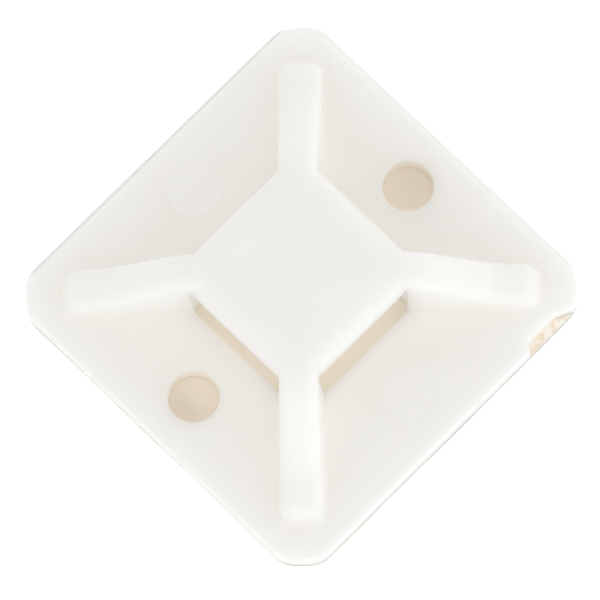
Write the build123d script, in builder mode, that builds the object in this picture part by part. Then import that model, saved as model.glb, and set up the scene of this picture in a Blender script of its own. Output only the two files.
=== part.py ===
from build123d import *
import os
from math import radians, sqrt, tan

# A four-way adhesive cable tie mount, in millimetres.
# The origin is the middle of the surface that it lies on, and +Z points up out of the plate.
# The plate's sides run along X and Y. A tie passes under the raised deck along X or along Y.

# Release liner and foam pad
liner_thickness = 0.15
pad_thickness = 0.85
pad_inset = 0.1

# Base plate
plate_side = 28.0
plate_thickness = 1.3
plate_edge_radius = 0.2
corner_cut = 1.8
corner_blend = 2.0

# Raised deck and the tunnels under it
deck_side = 11.9
deck_roof = 1.6
tunnel_height = 4.2
deck_draft = 3.0
tunnel_width = 8.8
window_clearance = 0.1
window_corner_radius = 0.35

# Ribs, which run from the legs under the deck's corners to the corners of the plate
rib_width = 3.0
rib_draft = 2.5
rib_end_setback = 3.7
rib_crest_setback = 0.5
rib_crest_radius = 4.0
rib_knee_run_share = 0.65
rib_knee_drop_share = 0.9
rib_knee_radius_share = 0.4
rib_toe_height = 1.25
rib_toe_run = 0.55
rib_toe_radius = 1.3

# Roundings of the upper structure
deck_edge_radius = 1.4
rib_edge_radius = 0.85
foot_radius = 0.3

# Screw holes and the blank round marks left by the two unused hole pins
hole_diameter = 3.5
hole_edge_distance = 3.8
mark_diameter = 3.6
mark_depth = 0.05

# Notch where the gate was cut off, on the +X side near the (+X, +Y) corner
gate_length = 4.5
gate_depth = 0.72
gate_corner_distance = 4.15
gate_near_run = 0.6
gate_far_run = 1.5
gate_blend = 0.5

# Heights above the surface that the mount lies on
pad_bottom = liner_thickness
plate_bottom = pad_bottom + pad_thickness
plate_top = plate_bottom + plate_thickness
deck_underside = plate_top + tunnel_height
deck_top = deck_underside + deck_roof

# Distances from the middle
plate_half = plate_side / 2
window_side = deck_side + 2 * window_clearance
deck_corner = deck_side / sqrt(2)
rib_start = tunnel_width / 2 / sqrt(2)
rib_crest = deck_corner - rib_crest_setback
rib_end = plate_side / sqrt(2) - rib_end_setback
rib_foot_end = rib_end + rib_toe_run * plate_thickness / rib_toe_height
rib_run = rib_end - rib_crest
rib_knee = rib_crest + rib_knee_run_share * rib_run
rib_knee_radius = rib_knee_radius_share * rib_run
rib_toe_level = plate_top + rib_toe_height
rib_knee_level = deck_top - rib_knee_drop_share * (deck_top - rib_toe_level)
hole_offset = plate_half - hole_edge_distance
gate_start = plate_half - gate_corner_distance - gate_length / 2
gate_end = gate_start + gate_length
rib_angles = (45, 135, 225, 315)
rib_foot_half = rib_width / 2 + plate_thickness * tan(radians(rib_draft))
rib_top_half = rib_width / 2 - (deck_top - plate_top) * tan(radians(rib_draft))


def plate_outline(level, inset=0.0):
    """Square with a straight cut across each corner and the cut's ends blended, drawn at one level."""
    with BuildSketch(Plane.XY.offset(level)) as outline:
        Rectangle(plate_side, plate_side)
        chamfer(outline.vertices(), corner_cut)
        fillet(outline.vertices(), corner_blend)
        if inset:
            offset(amount=-inset, mode=Mode.REPLACE)
    return outline.sketch


def above_crest():
    """Side view of all that lies above the crest line of the rib along +X."""
    with BuildSketch(Plane.XZ) as view:
        with BuildLine():
            crest = FilletPolyline(
                (0, deck_top),
                (rib_crest, deck_top),
                (rib_knee, rib_knee_level),
                (rib_end - rib_toe_run, rib_toe_level),
                (rib_foot_end, plate_bottom),
                radius=[rib_crest_radius, rib_knee_radius, rib_toe_radius],
            )
            Polyline(
                crest @ 1,
                (plate_side, plate_bottom),
                (plate_side, 2 * deck_top),
                (0, 2 * deck_top),
                crest @ 0,
            )
        make_face()
    return view.sketch


def rim_edges(rib, side_share=0.9):
    """The edges where the crest and the end of the rib along +X meet its two side walls."""
    sides = rib.faces().filter_by(lambda face: abs(face.normal_at(face.center()).Y) > side_share)
    start = rib.faces().sort_by(Axis.X)[0]
    bottom = rib.faces().sort_by(Axis.Z)[0]
    return sides.edges() - start.edges() - bottom.edges()


# Release liner, a thin sheet under the pad
with BuildPart() as liner:
    extrude(plate_outline(0.0, pad_inset), amount=liner_thickness)

# Foam pad, adhesive on both faces and not punched through under the holes
with BuildPart() as pad:
    extrude(plate_outline(pad_bottom, pad_inset), amount=pad_thickness)

# Deck roof with rounded upper edges, whose corners end inside the ribs
with BuildPart() as deck:
    with BuildSketch(Plane.XY.offset(deck_underside)):
        Rectangle(deck_side, deck_side)
    extrude(amount=deck_roof, taper=deck_draft)
    fillet(deck.faces().sort_by(Axis.Z)[-1].edges(), deck_edge_radius)

# One rib along +X, drafted on its sides and rounded along its crest and down its end
with BuildPart() as rib:
    with BuildSketch(Plane.YZ.offset(rib_start)):
        with BuildLine():
            Polyline(
                (-rib_foot_half, plate_bottom),
                (rib_foot_half, plate_bottom),
                (rib_top_half, deck_top),
                (-rib_top_half, deck_top),
                close=True,
            )
        make_face()
    extrude(amount=rib_foot_end + rib_width - rib_start)
    extrude(above_crest(), amount=rib_width, both=True, mode=Mode.SUBTRACT)
    fillet(rim_edges(rib.part), rib_edge_radius)

# Moulded body
with BuildPart() as body:
    # Plate with rounded upper edges, and four ribs with small fillets along their feet
    extrude(plate_outline(plate_bottom), amount=plate_thickness)
    fillet(body.faces().sort_by(Axis.Z)[-1].edges(), plate_edge_radius)
    for angle in rib_angles:
        add(rib.part.rotate(Axis.Z, angle))
    plate_level = body.faces().filter_by(Plane.XY).group_by(Axis.Z)[1]
    fillet(plate_level.sort_by(SortBy.AREA)[-1].inner_wires().edges(), foot_radius)

    # Raised deck
    add(deck.part)

    # Two crossing tunnels under the deck, open through the plate, which leave a leg at each corner
    with BuildSketch(Plane.XY.offset(plate_bottom)) as window:
        Rectangle(tunnel_width, window_side)
        Rectangle(window_side, tunnel_width)
        fillet(window.vertices(), window_corner_radius)
    extrude(amount=deck_underside - plate_bottom, mode=Mode.SUBTRACT)

    # Two screw holes on the Y line and two blank marks on the X line
    with BuildSketch(Plane.XY.offset(plate_top)):
        with GridLocations(0, 2 * hole_offset, 1, 2):
            Circle(hole_diameter / 2)
    extrude(amount=-plate_thickness, mode=Mode.SUBTRACT)
    with BuildSketch(Plane.XY.offset(plate_top)):
        with GridLocations(2 * hole_offset, 0, 2, 1):
            Circle(mark_diameter / 2)
    extrude(amount=-mark_depth, mode=Mode.SUBTRACT)

    # Gate notch, steep on its near side and running out towards the corner
    with BuildSketch(Plane.XY.offset(plate_top)):
        with BuildLine():
            FilletPolyline(
                (plate_half + 2 * gate_depth, gate_start - 2 * gate_near_run),
                (plate_half - gate_depth, gate_start + gate_near_run),
                (plate_half - gate_depth, gate_end - gate_far_run),
                (plate_half + 2 * gate_depth, gate_end + 2 * gate_far_run),
                radius=gate_blend,
                close=True,
            )
        make_face()
    extrude(amount=-plate_thickness, mode=Mode.SUBTRACT)

body.part.label = "mount_body"
pad.part.label = "foam_pad"
liner.part.label = "release_liner"

os.makedirs("parts", exist_ok=True)
export_step(body.part, "parts/mount_body.step")
export_step(pad.part, "parts/foam_pad.step")
export_step(liner.part, "parts/release_liner.step")
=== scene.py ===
# %% [markdown]
# # A cable tie mount in Blender
#
# The object is a small square mount, 28 mm on a side, moulded in one piece from natural nylon. A
# foam pad sticks it to a panel, and cable ties pass under its raised deck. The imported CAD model
# gives every size and place. This script adds what the CAD model leaves out: the milky nylon, the
# cut edge of the foam, the tan adhesive with its stray threads, and the paper under it.
#
# Lengths are in metres and the frame is the CAD model's own: the origin is the middle of the face
# that the mount lies on, and +Z points up.

import bpy
import numpy as np
from mathutils import Matrix, Vector


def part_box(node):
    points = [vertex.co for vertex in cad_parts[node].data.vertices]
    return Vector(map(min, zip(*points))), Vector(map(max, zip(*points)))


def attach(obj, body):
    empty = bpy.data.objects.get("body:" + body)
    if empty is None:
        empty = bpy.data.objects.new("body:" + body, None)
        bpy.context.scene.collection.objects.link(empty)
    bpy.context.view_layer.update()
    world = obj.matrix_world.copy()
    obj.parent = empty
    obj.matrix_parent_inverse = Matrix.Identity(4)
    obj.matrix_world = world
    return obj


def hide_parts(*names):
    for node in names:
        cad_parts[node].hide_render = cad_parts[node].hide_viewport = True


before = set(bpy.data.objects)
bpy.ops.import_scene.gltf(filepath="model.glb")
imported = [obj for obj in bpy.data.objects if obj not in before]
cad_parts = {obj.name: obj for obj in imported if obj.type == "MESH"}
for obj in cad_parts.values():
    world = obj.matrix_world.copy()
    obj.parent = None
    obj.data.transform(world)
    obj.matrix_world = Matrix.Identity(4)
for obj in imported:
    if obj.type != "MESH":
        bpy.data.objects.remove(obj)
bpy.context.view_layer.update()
MM = 0.001

for name, node in sorted(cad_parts.items()):
    low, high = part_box(name)
    size = [round((b - a) / MM, 2) for a, b in zip(low, high)]
    print(name, "is", size, "mm, with", len(node.data.polygons), "faces")

# %% [markdown]
# ## The camera
#
# The photograph was taken from almost straight above with a long lens. Two things give the angle
# away. The square looks a little shorter from top to bottom than from side to side, and the raised
# deck sits a little above the middle of the base. Both fit a camera fifteen degrees off the
# vertical. It stands nine degrees to one side of the plate's diagonal and is rolled by about as
# much, so the corners still point within a degree of up and sideways. The values below come from
# a least-squares fit to edges and marks read off the photograph.
#
# `picture_right` and `picture_down` are the two diagonals of the plate. They point to the right
# and down in the picture, which makes them handy for placing the lights as well.

# %% Camera
AZIMUTH = np.radians(53.95)
ELEVATION = np.radians(74.9)
ROLL = np.radians(9.45)
DISTANCE = 457 * MM
FOCAL_PIXELS = 6815
PICTURE_PIXELS = 600
SENSOR = 36.0
PLATE_TOP = 2.3 * MM
AIM_LEFT = 0.08 * MM
AIM_DOWN = 0.63 * MM

straight_up = np.array([0.0, 0.0, 1.0])
diagonal = 1 / np.sqrt(2)
picture_right = np.array([diagonal, diagonal, 0])
picture_down = np.array([diagonal, -diagonal, 0])

back = np.array([
    np.sin(AZIMUTH) * np.cos(ELEVATION),
    -np.cos(AZIMUTH) * np.cos(ELEVATION),
    np.sin(ELEVATION),
])
level_right = np.cross(-back, straight_up)
level_right /= np.linalg.norm(level_right)
level_up = np.cross(back, level_right)
camera_x = np.cos(ROLL) * level_right - np.sin(ROLL) * level_up
camera_y = np.sin(ROLL) * level_right + np.cos(ROLL) * level_up
target = PLATE_TOP * straight_up - AIM_LEFT * picture_right + AIM_DOWN * picture_down
place = target + DISTANCE * back

camera = bpy.data.objects.new("camera", bpy.data.cameras.new("camera"))
camera.data.sensor_width = SENSOR
camera.data.lens = SENSOR * FOCAL_PIXELS / PICTURE_PIXELS
camera.data.clip_start = 0.01
camera.data.clip_end = 10
turn = Matrix(np.column_stack([camera_x, camera_y, back]).tolist())
camera.matrix_world = Matrix.Translation(Vector(place)) @ turn.to_4x4()
bpy.context.scene.collection.objects.link(camera)
bpy.context.scene.camera = camera
print("camera at", [round(v / MM, 1) for v in place], "mm, lens", round(camera.data.lens), "mm")

# %% [markdown]
# ## The outline of the plate
#
# The foam and its paper are punched to the plate's own outline, a square whose corners are cut and
# blended. A picture of that outline as a row of equally spaced points, with the direction that
# faces outwards at each of them, is all that the cut edges need: an edge is then the outline,
# moved in or out by a small amount that changes along it.

# %% The plate's outline
PLATE_SIDE = 28.0 * MM
CORNER_CUT = 1.8 * MM
CORNER_BLEND = 2.0 * MM
OUTLINE_STEPS = 1760
ARC_STEPS = 13


def blended_square(side, cut, blend, count):
    """Points around a square whose corners are cut and blended, and the outward direction at each.

    The cut square has eight corners, and each turns the outline by 45 degrees. An arc replaces
    each corner: its middle lies inwards from the corner by blend / cos(22.5 degrees). The arcs
    joined by straight runs are measured along their length and divided into equal steps.
    """
    half = side / 2
    eighth = np.radians(45)
    corner = np.arange(8)
    quarter = (corner // 2) * 2 * eighth
    near = np.array([half, half - cut])
    base = np.where((corner % 2 == 0)[:, None], near, near[::-1])
    corner_x = base[:, 0] * np.cos(quarter) - base[:, 1] * np.sin(quarter)
    corner_y = base[:, 0] * np.sin(quarter) + base[:, 1] * np.cos(quarter)
    middle = (corner + 0.5) * eighth
    inward = blend / np.cos(eighth / 2)
    bearing = corner[:, None] * eighth + np.linspace(0, eighth, ARC_STEPS)
    x = ((corner_x - inward * np.cos(middle))[:, None] + blend * np.cos(bearing)).ravel()
    y = ((corner_y - inward * np.sin(middle))[:, None] + blend * np.sin(bearing)).ravel()
    x, y = np.append(x, x[0]), np.append(y, y[0])
    bearing = np.append(bearing.ravel(), 2 * np.pi)
    run = np.append(0, np.cumsum(np.hypot(np.diff(x), np.diff(y))))
    at = np.linspace(0, run[-1], count, endpoint=False)
    facing = np.interp(at, run, bearing)
    return np.interp(at, run, x), np.interp(at, run, y), np.cos(facing), np.sin(facing), run[-1]


outline_x, outline_y, out_x, out_y, outline_length = blended_square(
    PLATE_SIDE, CORNER_CUT, CORNER_BLEND, OUTLINE_STEPS)
around = np.arange(OUTLINE_STEPS) / OUTLINE_STEPS
print("outline", round(outline_length / MM, 1), "mm long, in steps of",
      round(outline_length / OUTLINE_STEPS / MM, 3), "mm")

# %% [markdown]
# ## Noise and closed grids
#
# A cut edge is never quite straight. Smooth noise gives it slow waves and small pits. It is made
# from random values on a coarse lattice with smooth steps between them, and the lattice closes on
# itself around the outline, so no seam shows.
#
# Every surface here is a grid of points, and the grid is closed to a solid skin: its rows run
# around the piece, and the first and last rows each shrink to one point, a pole.

# %% Helpers for grids
INNER_SHARE = 0.08
OUTER_SHARE = 0.996


def lattice_noise(rng, rows, columns, row_at, column_at):
    """Smooth noise between -1 and 1 that closes on itself along the columns.

    Random values sit on a lattice. A point takes the values of the four around it, mixed by the
    smooth step of its place between them, 3 t squared less 2 t cubed.
    """
    values = rng.uniform(-1, 1, (rows + 1, columns))
    row, column = np.meshgrid(row_at * (rows - 1), column_at * columns, indexing="ij")
    r, c = np.floor(row).astype(int), np.floor(column).astype(int)
    tr, tc = row - r, column - c
    tr, tc = tr * tr * (3 - 2 * tr), tc * tc * (3 - 2 * tc)
    after = (c + 1) % columns
    c = c % columns
    low = values[r, c] * (1 - tc) + values[r, after] * tc
    high = values[r + 1, c] * (1 - tc) + values[r + 1, after] * tc
    return low * (1 - tr) + high * tr


def closed_grid(name, x, y, z):
    """A skin from rows of points that run around a piece, with a fan of triangles at each pole.

    The rows go from the lower pole to the upper one, and each row runs anticlockwise seen from
    above, so that every face points outwards.
    """
    rows, count = x.shape
    points = np.stack([x, y, z], axis=-1).reshape(-1, 3)
    poles = np.stack([points[:count].mean(axis=0), points[-count:].mean(axis=0)])
    here = np.arange(count)
    after = (here + 1) % count
    row = np.arange(rows - 1)[:, None] * count
    quads = np.stack([row + here, row + after, row + count + after, row + count + here], axis=-1)
    last = (rows - 1) * count
    low_pole = np.full(count, rows * count)
    low_fan = np.stack([low_pole, after, here], axis=-1)
    high_fan = np.stack([low_pole + 1, last + here, last + after], axis=-1)
    mesh = bpy.data.meshes.new(name)
    mesh.from_pydata(
        np.vstack([points, poles]).tolist(), [],
        quads.reshape(-1, 4).tolist() + low_fan.tolist() + high_fan.tolist())
    mesh.shade_smooth()
    piece = bpy.data.objects.new(name, mesh)
    bpy.context.scene.collection.objects.link(piece)
    return piece


def flat_piece(name, edge_x, edge_y, edge_z, face_rows):
    """A flat piece from the rows of its cut edge, lowest first.

    Each face is the nearest edge row shrunk towards the middle in equal steps, at its own level.
    """
    share = np.linspace(INNER_SHARE, OUTER_SHARE, face_rows)[:, None]
    level = np.ones_like(share) * np.ones_like(edge_x[:1])
    return closed_grid(
        name,
        np.vstack([edge_x[:1] * share, edge_x, edge_x[-1:] * share[::-1]]),
        np.vstack([edge_y[:1] * share, edge_y, edge_y[-1:] * share[::-1]]),
        np.vstack([edge_z[0, 0] * level, edge_z, edge_z[-1, 0] * level]))


# %% [markdown]
# ## The foam pad
#
# The pad is a sheet of closed-cell foam with an adhesive film on each face, punched out with a
# steel knife. So its edge has slow waves where the knife flexed, it bulges a little between the
# two films, and the knife opens the cells that lie along it. A plain block shows none of this.
# The cut edge is made of nineteen rows of points: the outline, moved out by the waves and the
# bulge, and in by the pits. It isn't punched through under the screw holes, because the
# photograph shows the adhesive across the bottom of both.

# %% Foam pad
PAD_INSET = 0.1 * MM
EDGE_ROWS = 19
FACE_ROWS = 7
KNIFE_WAVE = 0.05 * MM
EDGE_BULGE = 0.04 * MM
PIT_DEPTH = 0.05 * MM

rng = np.random.default_rng(7)
pad_low, pad_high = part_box("foam_pad")
up = np.linspace(0, 1, EDGE_ROWS)
level_row = np.zeros(1)
slow_wave = lattice_noise(rng, 2, 30, level_row, around)
quick_wave = lattice_noise(rng, 2, 90, level_row, around)
pits = lattice_noise(rng, 7, 760, up, around) + 0.6 * lattice_noise(rng, 12, 1500, up, around)
between_films = np.sin(np.pi * up)[:, None]
inset = (PAD_INSET - KNIFE_WAVE * (slow_wave + 0.5 * quick_wave) - EDGE_BULGE * between_films
         + PIT_DEPTH * np.clip(pits, -0.1, 1) * np.sqrt(between_films))
pad_z = pad_low.z + up[:, None] * (pad_high.z - pad_low.z) * np.ones_like(inset)
pad = flat_piece(
    "die_cut_pad", outline_x - inset * out_x, outline_y - inset * out_y, pad_z, FACE_ROWS)
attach(pad, "root")
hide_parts("foam_pad")
print("foam pad:", len(pad.data.polygons), "faces; edge moves by",
      round((inset.max() - inset.min()) / MM, 2), "mm")

# %% [markdown]
# ## The backing paper
#
# A sheet of coated paper covers the lower adhesive until the mount is stuck down. The same knife
# cuts it, and it lies flat on the foam, so it is made the same way with fewer rows. Its two edges
# are slightly rounded, because a knife presses thin paper before it parts it.

# %% Backing paper
PAPER_WAVE = 0.03 * MM
PAPER_ROUND = 0.02 * MM

paper_low, paper_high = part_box("release_liner")
paper_up = np.array([0.0, 0.15, 0.5, 0.85, 1.0])[:, None]
paper_wave = lattice_noise(rng, 2, 44, level_row, around)
inset = PAD_INSET - PAPER_WAVE * paper_wave + PAPER_ROUND * (1 - np.sin(np.pi * paper_up))
paper_z = paper_low.z + paper_up * (paper_high.z - paper_low.z) * np.ones_like(inset)
backing = flat_piece(
    "backing_paper", outline_x - inset * out_x, outline_y - inset * out_y, paper_z, FACE_ROWS)
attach(backing, "root")
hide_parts("release_liner")
print("backing paper:", len(backing.data.polygons), "faces")

# %% [markdown]
# ## Helpers for materials
#
# All the materials are Principled shaders with a few nodes in front of them. The nodes read object
# coordinates, which are metres here, so a noise scale of 1000 gives waves one millimetre long.

# %% Helpers for materials
def new_material(name, roughness):
    """A node material with its Principled shader joined to the output."""
    material = bpy.data.materials.new(name)
    material.use_nodes = True
    tree = material.node_tree
    tree.nodes.clear()
    output = tree.nodes.new("ShaderNodeOutputMaterial")
    shader = tree.nodes.new("ShaderNodeBsdfPrincipled")
    shader.inputs["Roughness"].default_value = roughness
    tree.links.new(shader.outputs["BSDF"], output.inputs["Surface"])
    return material, tree, shader


def object_noise(tree, scale, detail):
    """Noise in object coordinates, with `scale` waves in a metre."""
    coordinates = tree.nodes.new("ShaderNodeTexCoord")
    noise = tree.nodes.new("ShaderNodeTexNoise")
    noise.inputs["Scale"].default_value = scale
    noise.inputs["Detail"].default_value = detail
    tree.links.new(coordinates.outputs["Object"], noise.inputs["Vector"])
    return noise.outputs["Fac"]


def colour_ramp(tree, factor, stops):
    """Colours along a factor, from pairs of a place and a red, green and blue."""
    ramp = tree.nodes.new("ShaderNodeValToRGB")
    elements = ramp.color_ramp.elements
    for element, (at, colour) in zip(elements, (stops[0], stops[-1])):
        element.position, element.color = at, (*colour, 1)
    for at, colour in stops[1:-1]:
        elements.new(at).color = (*colour, 1)
    tree.links.new(factor, ramp.inputs["Fac"])
    return ramp.outputs["Color"]


def spot(tree, centre, radius, soft):
    """A mask that is 1 within `radius` of a point and falls smoothly to 0 over the width `soft`."""
    coordinates = tree.nodes.new("ShaderNodeTexCoord")
    apart = tree.nodes.new("ShaderNodeVectorMath")
    apart.operation = "DISTANCE"
    apart.inputs[1].default_value = centre
    tree.links.new(coordinates.outputs["Object"], apart.inputs[0])
    fall = tree.nodes.new("ShaderNodeMapRange")
    fall.interpolation_type = "SMOOTHSTEP"
    fall.inputs["From Min"].default_value = radius - soft / 2
    fall.inputs["From Max"].default_value = radius + soft / 2
    fall.inputs["To Min"].default_value = 1.0
    fall.inputs["To Max"].default_value = 0.0
    tree.links.new(apart.outputs["Value"], fall.inputs["Value"])
    return fall.outputs["Result"]


def either(tree, masks):
    """The largest of several masks."""
    joined = masks[0]
    for mask in masks[1:]:
        larger = tree.nodes.new("ShaderNodeMath")
        larger.operation = "MAXIMUM"
        tree.links.new(joined, larger.inputs[0])
        tree.links.new(mask, larger.inputs[1])
        joined = larger.outputs["Value"]
    return joined


def object_axes(tree):
    """The three object coordinates by their names."""
    coordinates = tree.nodes.new("ShaderNodeTexCoord")
    axes = tree.nodes.new("ShaderNodeSeparateXYZ")
    tree.links.new(coordinates.outputs["Object"], axes.inputs["Vector"])
    return axes.outputs


def step_between(tree, value, edge, soft, before, after):
    """A value that passes from `before` to `after` over the width `soft` around an edge."""
    step = tree.nodes.new("ShaderNodeMapRange")
    step.inputs["From Min"].default_value = edge - soft / 2
    step.inputs["From Max"].default_value = edge + soft / 2
    step.inputs["To Min"].default_value = before
    step.inputs["To Max"].default_value = after
    tree.links.new(value, step.inputs["Value"])
    return step.outputs["Result"]


def calculate(tree, operation, first, second):
    """The result of one operation on two values."""
    node = tree.nodes.new("ShaderNodeMath")
    node.operation = operation
    tree.links.new(first, node.inputs[0])
    tree.links.new(second, node.inputs[1])
    return node.outputs["Value"]


def square_reach(tree, axes):
    """How far a point lies from the middle along X or along Y, whichever is more."""
    sizes = []
    for axis in ("X", "Y"):
        size = tree.nodes.new("ShaderNodeMath")
        size.operation = "ABSOLUTE"
        tree.links.new(axes[axis], size.inputs[0])
        sizes.append(size.outputs["Value"])
    return either(tree, sizes)


def tinted(tree, colour, mask, share, tint):
    """A colour mixed with a plain tint by `share` where a mask is 1."""
    part = tree.nodes.new("ShaderNodeMath")
    part.operation = "MULTIPLY"
    part.inputs[1].default_value = share
    tree.links.new(mask, part.inputs[0])
    mix = tree.nodes.new("ShaderNodeMix")
    mix.data_type = "RGBA"
    first, second, result = mix.inputs[6], mix.inputs[7], mix.outputs[2]
    second.default_value = (*tint, 1)
    tree.links.new(part.outputs["Value"], mix.inputs["Factor"])
    tree.links.new(colour, first)
    return result


def relief(tree, shader, height, strength, distance):
    """Relief too fine to model, added to the shader's normal."""
    bump = tree.nodes.new("ShaderNodeBump")
    bump.inputs["Strength"].default_value = strength
    bump.inputs["Distance"].default_value = distance
    tree.links.new(height, bump.inputs["Height"])
    tree.links.new(bump.outputs["Normal"], shader.inputs["Normal"])


# %% [markdown]
# ## Natural nylon
#
# Undyed nylon is milky: light enters it, scatters for a few millimetres and comes out elsewhere.
# That is why its shadows are so pale and its edges have no hard line. Subsurface scattering with a
# radius of two to three millimetres gives the same look, and almost the same for red, green and
# blue, because the nylon has only a faint warm tint of its own.
#
# The surface has five finer things: slow clouds from the flow of the plastic, a fine satin grain
# from the mould, two round marks where the unused hole pins touched, which look a little paler,
# a painted warm shade, tan, on the walls of the holes and the window, for the shade in these
# hollows, and a thin grey line of painted shade along the rounded edge on the two far sides of the
# plate, where the edge turns away from the light, stronger on the left one. That edge is only
# 0.2 mm wide, far less than the light spreads, so lamps can't draw the line and a tint does. The
# tints' colours and strengths were set by comparing renders with the photograph, which shows one
# view. From behind, the grey painted shade shows as a thin stripe that the real edge probably
# doesn't have.

# %% Natural nylon
SCATTER_LENGTH = 2.5 * MM
SCATTER_TINT = (1.0, 0.97, 0.92)
MILK_DARK = (0.905, 0.895, 0.865)
MILK_PALE = (0.93, 0.92, 0.89)
MARK_PALE = (0.965, 0.955, 0.935)
MARK_STRENGTH = 0.85
# Tan painted warm shade for the walls of the holes and the window.
PAINTED_WARM_SHADE = (0.82, 0.74, 0.60)
PAINTED_WARM_SHADE_STRENGTH = 0.5
# Grey painted shade for the rounded edge on the two far sides.
PAINTED_EDGE_SHADE = (0.59, 0.58, 0.58)
PAINTED_EDGE_SHADE_STRENGTH = 0.85
FAR_RIGHT_SHARE = 0.45

HOLE_CENTRE = PLATE_SIDE / 2 - 3.8 * MM
HOLE_RADIUS = 1.75 * MM
MARK_RADIUS = 1.8 * MM
WINDOW_HALF = 6.05 * MM
EDGE_RADIUS = 0.2 * MM
WALL_SOFT = 0.06 * MM
RIM_START = PLATE_SIDE / 2 - 0.22 * MM
RIM_SOFT = 0.1 * MM
CLOUDS_PER_METRE = 160
GRAINS_PER_METRE = 2500

nylon, tree, shader = new_material("natural_nylon", 0.45)
shader.inputs["Subsurface Weight"].default_value = 1.0
shader.inputs["Subsurface Radius"].default_value = SCATTER_TINT
shader.inputs["Subsurface Scale"].default_value = SCATTER_LENGTH
clouds = object_noise(tree, CLOUDS_PER_METRE, 3)
milk = colour_ramp(tree, clouds, [(0.3, MILK_DARK), (0.7, MILK_PALE)])

marks = either(tree, [
    spot(tree, (side * HOLE_CENTRE, 0, PLATE_TOP), MARK_RADIUS, 0.25 * MM) for side in (-1, 1)])
milk = tinted(tree, milk, marks, MARK_STRENGTH, MARK_PALE)

axes = object_axes(tree)
half_way = (pad_high.z + PLATE_TOP) / 2
# Painted warm shade: the walls of the screw holes and of the window below the plate's top are
# tinted tan, for the shade in these hollows.
bores = [
    spot(tree, (0, side * HOLE_CENTRE, half_way), HOLE_RADIUS + 0.15 * MM, 0.08 * MM)
    for side in (-1, 1)]
window = step_between(
    tree, square_reach(tree, axes), WINDOW_HALF + 0.05 * MM, WALL_SOFT, 1.0, 0.0)
below_top = step_between(tree, axes["Z"], PLATE_TOP - 0.04 * MM, WALL_SOFT, 1.0, 0.0)
painted_warm_shade_walls = calculate(tree, "MULTIPLY", either(tree, [window, *bores]), below_top)
milk = tinted(tree, milk, painted_warm_shade_walls, PAINTED_WARM_SHADE_STRENGTH, PAINTED_WARM_SHADE)

# Painted shade: a grey tint on the rounded top edge of the two far sides, where the edge turns away
# from the light, at full strength on the left side and less on the right.
far_left = step_between(tree, axes["X"], -RIM_START, RIM_SOFT, 1.0, 0.0)
far_right = step_between(tree, axes["Y"], RIM_START, RIM_SOFT, 0.0, FAR_RIGHT_SHARE)
on_top = step_between(tree, axes["Z"], PLATE_TOP - EDGE_RADIUS, RIM_SOFT, 0.0, 1.0)
painted_edge_shade = calculate(tree, "MULTIPLY", either(tree, [far_left, far_right]), on_top)
milk = tinted(tree, milk, painted_edge_shade, PAINTED_EDGE_SHADE_STRENGTH, PAINTED_EDGE_SHADE)
tree.links.new(milk, shader.inputs["Base Color"])
relief(tree, shader, object_noise(tree, GRAINS_PER_METRE, 2), 0.12, 0.02 * MM)

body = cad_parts["mount_body"]
body.data.materials.clear()
body.data.materials.append(nylon)
print("nylon scatters light over", round(SCATTER_LENGTH / MM, 1), "mm, on", body.name)

# %% [markdown]
# ## Adhesive foam
#
# Each face of the pad has a film of tan adhesive. The foam between them shows only at its cut
# edge, which the photograph hardly shows, so its pale grey is a guess. The height within the pad
# chooses between the two.
#
# Light that passes down through a milky plate lights the adhesive under it, and comes back up.
# A renderer gives up on such light early: after its first bounce it treats milky plastic as
# opaque. So the covered part of the upper face gets a faint plain glow, which stands for that
# light. It is weaker where the plate is open, in the window under the deck and at the screw holes,
# and weakest in the notch, which the tent lights directly. Around the window it is stronger,
# because the plate rendered darker there than the photograph shows. The strengths are not worked
# out from the light: they were set until the tones fitted. The gate was torn off at the notch, and
# pale threads of nylon lie across the adhesive.

# %% Adhesive foam
TAN = (0.80, 0.69, 0.53)
FOAM_GREY = (0.66, 0.65, 0.63)
COVERED_GLOW = 0.39
NEAR_GLOW = 0.48
NEAR_REACH = 7.8 * MM
NEAR_SOFT = 3.0 * MM
WINDOW_GLOW = 0.24
HOLE_GLOW = 0.18
NOTCH_GLOW = 0.12
GLOW_COLOUR = (0.97, 0.99, 1.0)
NOTCH_FLOOR = PLATE_SIDE / 2 - 0.72 * MM
MASK_SOFT = 0.1 * MM
THREADS_PER_METRE = 1500
THREAD_PALE = (0.90, 0.88, 0.82)
THREAD_STRENGTH = 0.75

foam, tree, shader = new_material("adhesive_foam", 0.6)
shader.inputs["Subsurface Weight"].default_value = 0.4
shader.inputs["Subsurface Radius"].default_value = (1.0, 0.8, 0.6)
shader.inputs["Subsurface Scale"].default_value = 0.4 * MM
axes = object_axes(tree)
height = step_between(
    tree, axes["Z"], (pad_low.z + pad_high.z) / 2, pad_high.z - pad_low.z, 0.0, 1.0)
layers = colour_ramp(tree, height, [
    (0.0, TAN), (0.05, TAN), (0.09, FOAM_GREY), (0.91, FOAM_GREY), (0.95, TAN), (1.0, TAN)])

reach = square_reach(tree, axes)
in_hole = either(tree, [
    spot(tree, (0, side * HOLE_CENTRE, pad_high.z), HOLE_RADIUS + MASK_SOFT, MASK_SOFT)
    for side in (-1, 1)])
in_notch = step_between(tree, axes["X"], NOTCH_FLOOR, MASK_SOFT, 0.0, 1.0)
on_face = step_between(tree, height, 0.98, 0.02, 0.0, 1.0)

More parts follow.
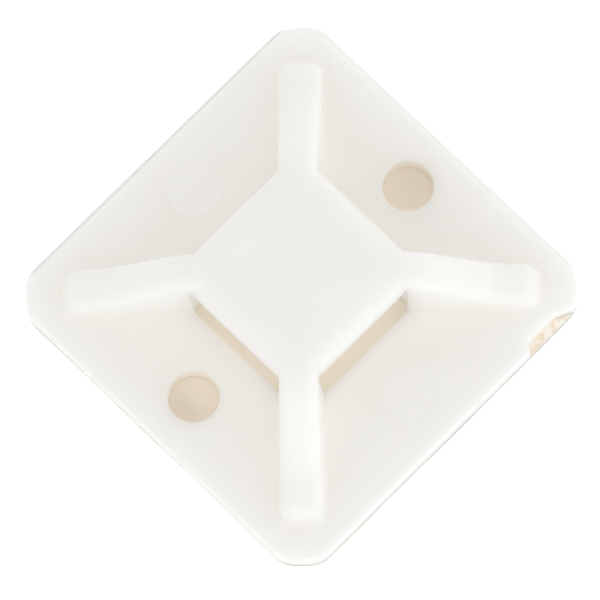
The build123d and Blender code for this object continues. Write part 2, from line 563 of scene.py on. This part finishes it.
glow = step_between(tree, reach, NEAR_REACH, NEAR_SOFT, NEAR_GLOW, COVERED_GLOW)
glow = calculate(tree, "MINIMUM", glow, step_between(
    tree, reach, WINDOW_HALF + MASK_SOFT, MASK_SOFT, WINDOW_GLOW, 1.0))
glow = calculate(tree, "MINIMUM", glow, step_between(tree, in_hole, 0.5, 1.0, 1.0, HOLE_GLOW))
glow = calculate(tree, "MINIMUM", glow, step_between(tree, in_notch, 0.5, 1.0, 1.0, NOTCH_GLOW))
tree.links.new(calculate(tree, "MULTIPLY", glow, on_face), shader.inputs["Emission Strength"])
shader.inputs["Emission Color"].default_value = (*GLOW_COLOUR, 1)

threads = step_between(tree, object_noise(tree, THREADS_PER_METRE, 3), 0.47, 0.12, 0.0, 1.0)
torn = calculate(tree, "MULTIPLY", calculate(tree, "MULTIPLY", in_notch, on_face), threads)
face = tinted(tree, layers, torn, THREAD_STRENGTH, THREAD_PALE)
tree.links.new(face, shader.inputs["Base Color"])
pad.data.materials.append(foam)
print("adhesive", TAN, "and foam", FOAM_GREY)

# %% [markdown]
# ## Backing paper
#
# The photograph can't show the paper, so its look is a guess: cream, with the soft shine of a
# silicone coat. Fine noise gives it fibres.

# %% Backing paper finish
FIBRES_PER_METRE = 3000
CREAM_DARK = (0.84, 0.82, 0.76)
CREAM_PALE = (0.88, 0.86, 0.80)

paper, tree, shader = new_material("liner_paper", 0.5)
fibres = colour_ramp(
    tree, object_noise(tree, FIBRES_PER_METRE, 4), [(0.3, CREAM_DARK), (0.7, CREAM_PALE)])
tree.links.new(fibres, shader.inputs["Base Color"])
backing.data.materials.append(paper)
print("backing paper is cream", CREAM_PALE)

# %% [markdown]
# ## The floor
#
# The photograph has a pure white background with no shadow on it. A white floor under soft light
# comes out a little grey, so it gets a faint glow of its own, which also fills the shadow.

# %% Floor
FLOOR_REACH = 1.5
FLOOR_GLOW = 0.3

corners = [(-1, -1, 0), (1, -1, 0), (1, 1, 0), (-1, 1, 0)]
floor_mesh = bpy.data.meshes.new("floor")
floor_mesh.from_pydata((np.array(corners) * FLOOR_REACH).tolist(), [], [(0, 1, 2, 3)])
floor = bpy.data.objects.new("floor", floor_mesh)
bpy.context.scene.collection.objects.link(floor)
white, tree, shader = new_material("floor_white", 0.9)
shader.inputs["Base Color"].default_value = (0.9, 0.9, 0.9, 1)
shader.inputs["Emission Color"].default_value = (1, 1, 1, 1)
shader.inputs["Emission Strength"].default_value = FLOOR_GLOW
floor_mesh.materials.append(white)
print("floor reaches", FLOOR_REACH, "m and glows", FLOOR_GLOW)

# %% [markdown]
# ## Light
#
# The light in the photograph is even, as in a tent of white cloth. Large round lamps stand in for
# the cloth: a low ring that shines under the deck, a higher ring that lights the plate, and one
# lamp overhead. The low ring leans right. The high ring leans to the lower left, the brightest
# quarter of the object in the photograph. The means and leans were set in two tries, with
# the result of an earlier fit of single lamps to the photograph in mind.
# A lamp's power is its ring's mean times 1 + lean x cos(bearing - the lean's bearing), where a
# bearing counts from the picture's right, anticlockwise. An even sky does the rest.

# %% Light
SKY_STRENGTH = 0.2
LAMP_DISTANCE = 0.7
LAMP_SIZE = 0.5
RING_LAMPS = 8
LOW_RING = {"elevation": 12, "mean_power": 0.37, "lean": 0.8, "lean_bearing": 0}
HIGH_RING = {"elevation": 35, "mean_power": 0.55, "lean": 0.35, "lean_bearing": 215}
OVERHEAD_ELEVATION = 80
OVERHEAD_POWER = 0.7

world = bpy.data.worlds.new("tent")
world.use_nodes = True
sky = world.node_tree.nodes["Background"]
sky.inputs["Color"].default_value = (1, 1, 1, 1)
sky.inputs["Strength"].default_value = SKY_STRENGTH
bpy.context.scene.world = world


def add_lamp(bearing, elevation, power):
    """A round lamp at a bearing from the picture's right, anticlockwise, shining at the origin."""
    level = np.cos(bearing) * picture_right - np.sin(bearing) * picture_down
    direction = Vector(np.cos(elevation) * level + np.sin(elevation) * straight_up)
    lamp = bpy.data.lights.new("tent_lamp", "AREA")
    lamp.shape = "DISK"
    lamp.size = LAMP_SIZE
    lamp.energy = power
    light = bpy.data.objects.new("tent_lamp", lamp)
    light.rotation_mode = "QUATERNION"
    light.rotation_quaternion = direction.to_track_quat("Z", "Y")
    light.location = direction * LAMP_DISTANCE
    bpy.context.scene.collection.objects.link(light)
    return power


lamp_powers = [add_lamp(0.0, np.radians(OVERHEAD_ELEVATION), OVERHEAD_POWER)]
for ring in (LOW_RING, HIGH_RING):
    for bearing in np.arange(RING_LAMPS) * 2 * np.pi / RING_LAMPS:
        share = 1 + ring["lean"] * np.cos(bearing - np.radians(ring["lean_bearing"]))
        lamp_powers.append(
            add_lamp(bearing, np.radians(ring["elevation"]), ring["mean_power"] * share))

view = bpy.context.scene.view_settings
view.view_transform = "Standard"
view.look = "None"
view.exposure = 0.0
print(len(lamp_powers), "lamps,", round(sum(lamp_powers), 2), "watts in all")
